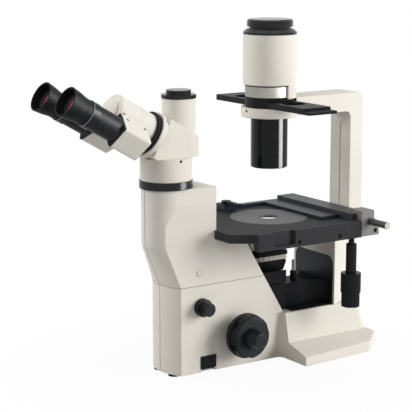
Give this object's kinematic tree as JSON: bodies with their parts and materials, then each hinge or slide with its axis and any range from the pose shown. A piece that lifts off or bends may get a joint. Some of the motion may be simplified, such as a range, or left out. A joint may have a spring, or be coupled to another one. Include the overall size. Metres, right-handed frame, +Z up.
{
  "type": "inverted microscope",
  "caption": "Bench inverted microscope with an inclined trinocular head, a plain stage with a sliding specimen holder, a tilted nosepiece below it and a lamp on an overhead arm.",
  "frame": {"origin": "centre of the overall footprint rectangle, on the bench", "axes": "+X from the observer towards the lamp post, +Y to the observer's left, +Z up"},
  "size_m": [0.5146, 0.24, 0.481],
  "materials": {
    "white_paint": "satin",
    "black_paint": "satin",
    "black_plastic": "satin",
    "gloss_black": "gloss",
    "rubber": "matte",
    "bright_metal": "polished",
    "bare_aluminium": "brushed",
    "grey_insert": "anodised",
    "steel": "ground",
    "glass": "coated",
    "mirror": "silvered",
    "supply_case": "matte"
  },
  "bodies": {
    "stand": {"base_casting": "white_paint", "bottom_plate": "steel", "rubber_feet": "rubber", "column_shell": "white_paint", "column_mirror": "mirror", "relay_lens": "glass", "focus_block": "black_paint", "lower_mirror": "mirror", "deck_cover": "black_paint", "mirror_box": "black_paint", "switch_bezel": "black_plastic", "pedestal": "white_paint", "pedestal_panel": "black_paint", "lamp_post": "white_paint", "condenser_tube": "gloss_black", "condenser_lens": "glass", "slider_guide": "black_paint", "collector_ring": "bright_metal", "collector_lens": "glass", "lamp_house": "white_paint", "lamp_cap": "black_paint", "lamp_bulb": "glass", "stage_plate": "black_paint", "stage_insert": "grey_insert", "guide_block": "black_paint", "mount_ring": "black_paint", "power_supply": "supply_case", "power_inlet": "black_plastic"},
    "carriage": {"nosepiece_carriage": "black_paint", "nosepiece_base": "black_paint"},
    "turret": {"turret": "black_paint", "turret_grip": "bright_metal", "objectives": "bright_metal"},
    "coarse": {"coarse_knobs": "black_plastic"},
    "fine": {"fine_knobs": "black_plastic"},
    "brightness": {"brightness_knob": "black_plastic"},
    "rocker": {"rocker": "black_plastic"},
    "slider": {"phase_slider": "black_paint", "phase_annuli": "glass"},
    "cross_slide": {"cross_rail": "black_paint", "end_bracket": "bare_aluminium", "control_shaft": "black_paint"},
    "long_slide": {"specimen_holder": "black_paint", "rack_rod": "steel"},
    "clamp": {"clamp_lever": "black_paint"},
    "upper_knob": {"upper_knob": "black_plastic"},
    "lower_knob": {"lower_knob": "black_plastic"},
    "head": {"head_housing": "white_paint", "head_prism": "glass", "photo_tube": "white_paint", "photo_cap": "black_paint", "binocular_ring": "black_paint"},
    "right_wing": {"right_wing": "white_paint", "right_eyetube": "black_paint", "right_eyepiece": "black_plastic"},
    "left_wing": {"left_wing": "white_paint", "left_eyetube": "black_paint", "left_eyepiece": "black_plastic"},
    "right_diopter": {"right_diopter": "black_plastic"},
    "left_diopter": {"left_diopter": "black_plastic"}
  },
  "joints": [
    {"name": "focus_slide", "type": "slide", "parent": "stand", "child": "carriage", "axis": [0, 0, 1], "range_m": [-0.001, 0.008]},
    {"name": "coarse_turn", "type": "hinge", "parent": "stand", "child": "coarse", "pos_m": [0.01678, 0.022, 0.051], "axis": [0, -1, 0], "range_deg": [-15, 80]},
    {"name": "fine_turn", "type": "hinge", "parent": "coarse", "child": "fine", "pos_m": [0.01678, 0.022, 0.051], "axis": [0, -1, 0], "continuous": true},
    {"name": "turret_turn", "type": "hinge", "parent": "carriage", "child": "turret", "pos_m": [0.09528, 0.022, 0.06598], "axis": [0, 0.2588, 0.9659], "continuous": true},
    {"name": "head_turn", "type": "hinge", "parent": "stand", "child": "head", "pos_m": [-0.07732, 0.022, 0.261], "axis": [0, 0, 1], "range_deg": [-120, 120]},
    {"name": "right_wing_fold", "type": "hinge", "parent": "head", "child": "right_wing", "pos_m": [-0.09892, 0.022, 0.33175], "axis": [-0.866, 0, 0.5], "range_deg": [-15, 13]},
    {"name": "left_wing_fold", "type": "hinge", "parent": "head", "child": "left_wing", "pos_m": [-0.09892, 0.022, 0.33175], "axis": [-0.866, 0, 0.5], "range_deg": [-13, 15]},
    {"name": "right_diopter_turn", "type": "hinge", "parent": "right_wing", "child": "right_diopter", "pos_m": [-0.20808, -0.01136, 0.36928], "axis": [-0.866, 0, 0.5], "range_deg": [-120, 120]},
    {"name": "left_diopter_turn", "type": "hinge", "parent": "left_wing", "child": "left_diopter", "pos_m": [-0.20808, 0.05536, 0.36928], "axis": [-0.866, 0, 0.5], "range_deg": [-120, 120]},
    {"name": "phase_slide", "type": "slide", "parent": "stand", "child": "slider", "axis": [0, 1, 0], "range_m": [-0.055, 0.055]},
    {"name": "brightness_turn", "type": "hinge", "parent": "stand", "child": "brightness", "pos_m": [-0.04372, -0.0149, 0.096], "axis": [0, -1, 0], "range_deg": [0, 270]},
    {"name": "power_rock", "type": "hinge", "parent": "stand", "child": "rocker", "pos_m": [-0.03272, -0.0131, 0.0165], "axis": [0, 0, 1], "range_deg": [0, 14]},
    {"name": "stage_cross", "type": "slide", "parent": "stand", "child": "cross_slide", "axis": [1, 0, 0], "range_m": [0, 0.018]},
    {"name": "stage_long", "type": "slide", "parent": "cross_slide", "child": "long_slide", "axis": [0, 1, 0], "range_m": [0, 0.036]},
    {"name": "clamp_swing", "type": "hinge", "parent": "long_slide", "child": "clamp", "pos_m": [0.07028, 0.092, 0.2113], "axis": [0, 0, -1], "range_deg": [0, 40], "stiffness_Nm_per_rad": 0.02},
    {"name": "upper_turn", "type": "hinge", "parent": "cross_slide", "child": "upper_knob", "pos_m": [0.16728, -0.077, 0.1287], "axis": [0, 0, 1], "range_deg": [-5, 175]},
    {"name": "lower_turn", "type": "hinge", "parent": "cross_slide", "child": "lower_knob", "pos_m": [0.16728, -0.077, 0.0804], "axis": [0, 0, 1], "range_deg": [-5, 350]}
  ],
  "couplings": [
    {"joint": "coarse_turn", "follows": "focus_slide", "rad_per_m": 166.67},
    {"joint": "left_wing_fold", "follows": "right_wing_fold", "ratio": -1},
    {"joint": "upper_turn", "follows": "stage_cross", "rad_per_m": 166.67},
    {"joint": "lower_turn", "follows": "stage_long", "rad_per_m": 166.67}
  ]
}
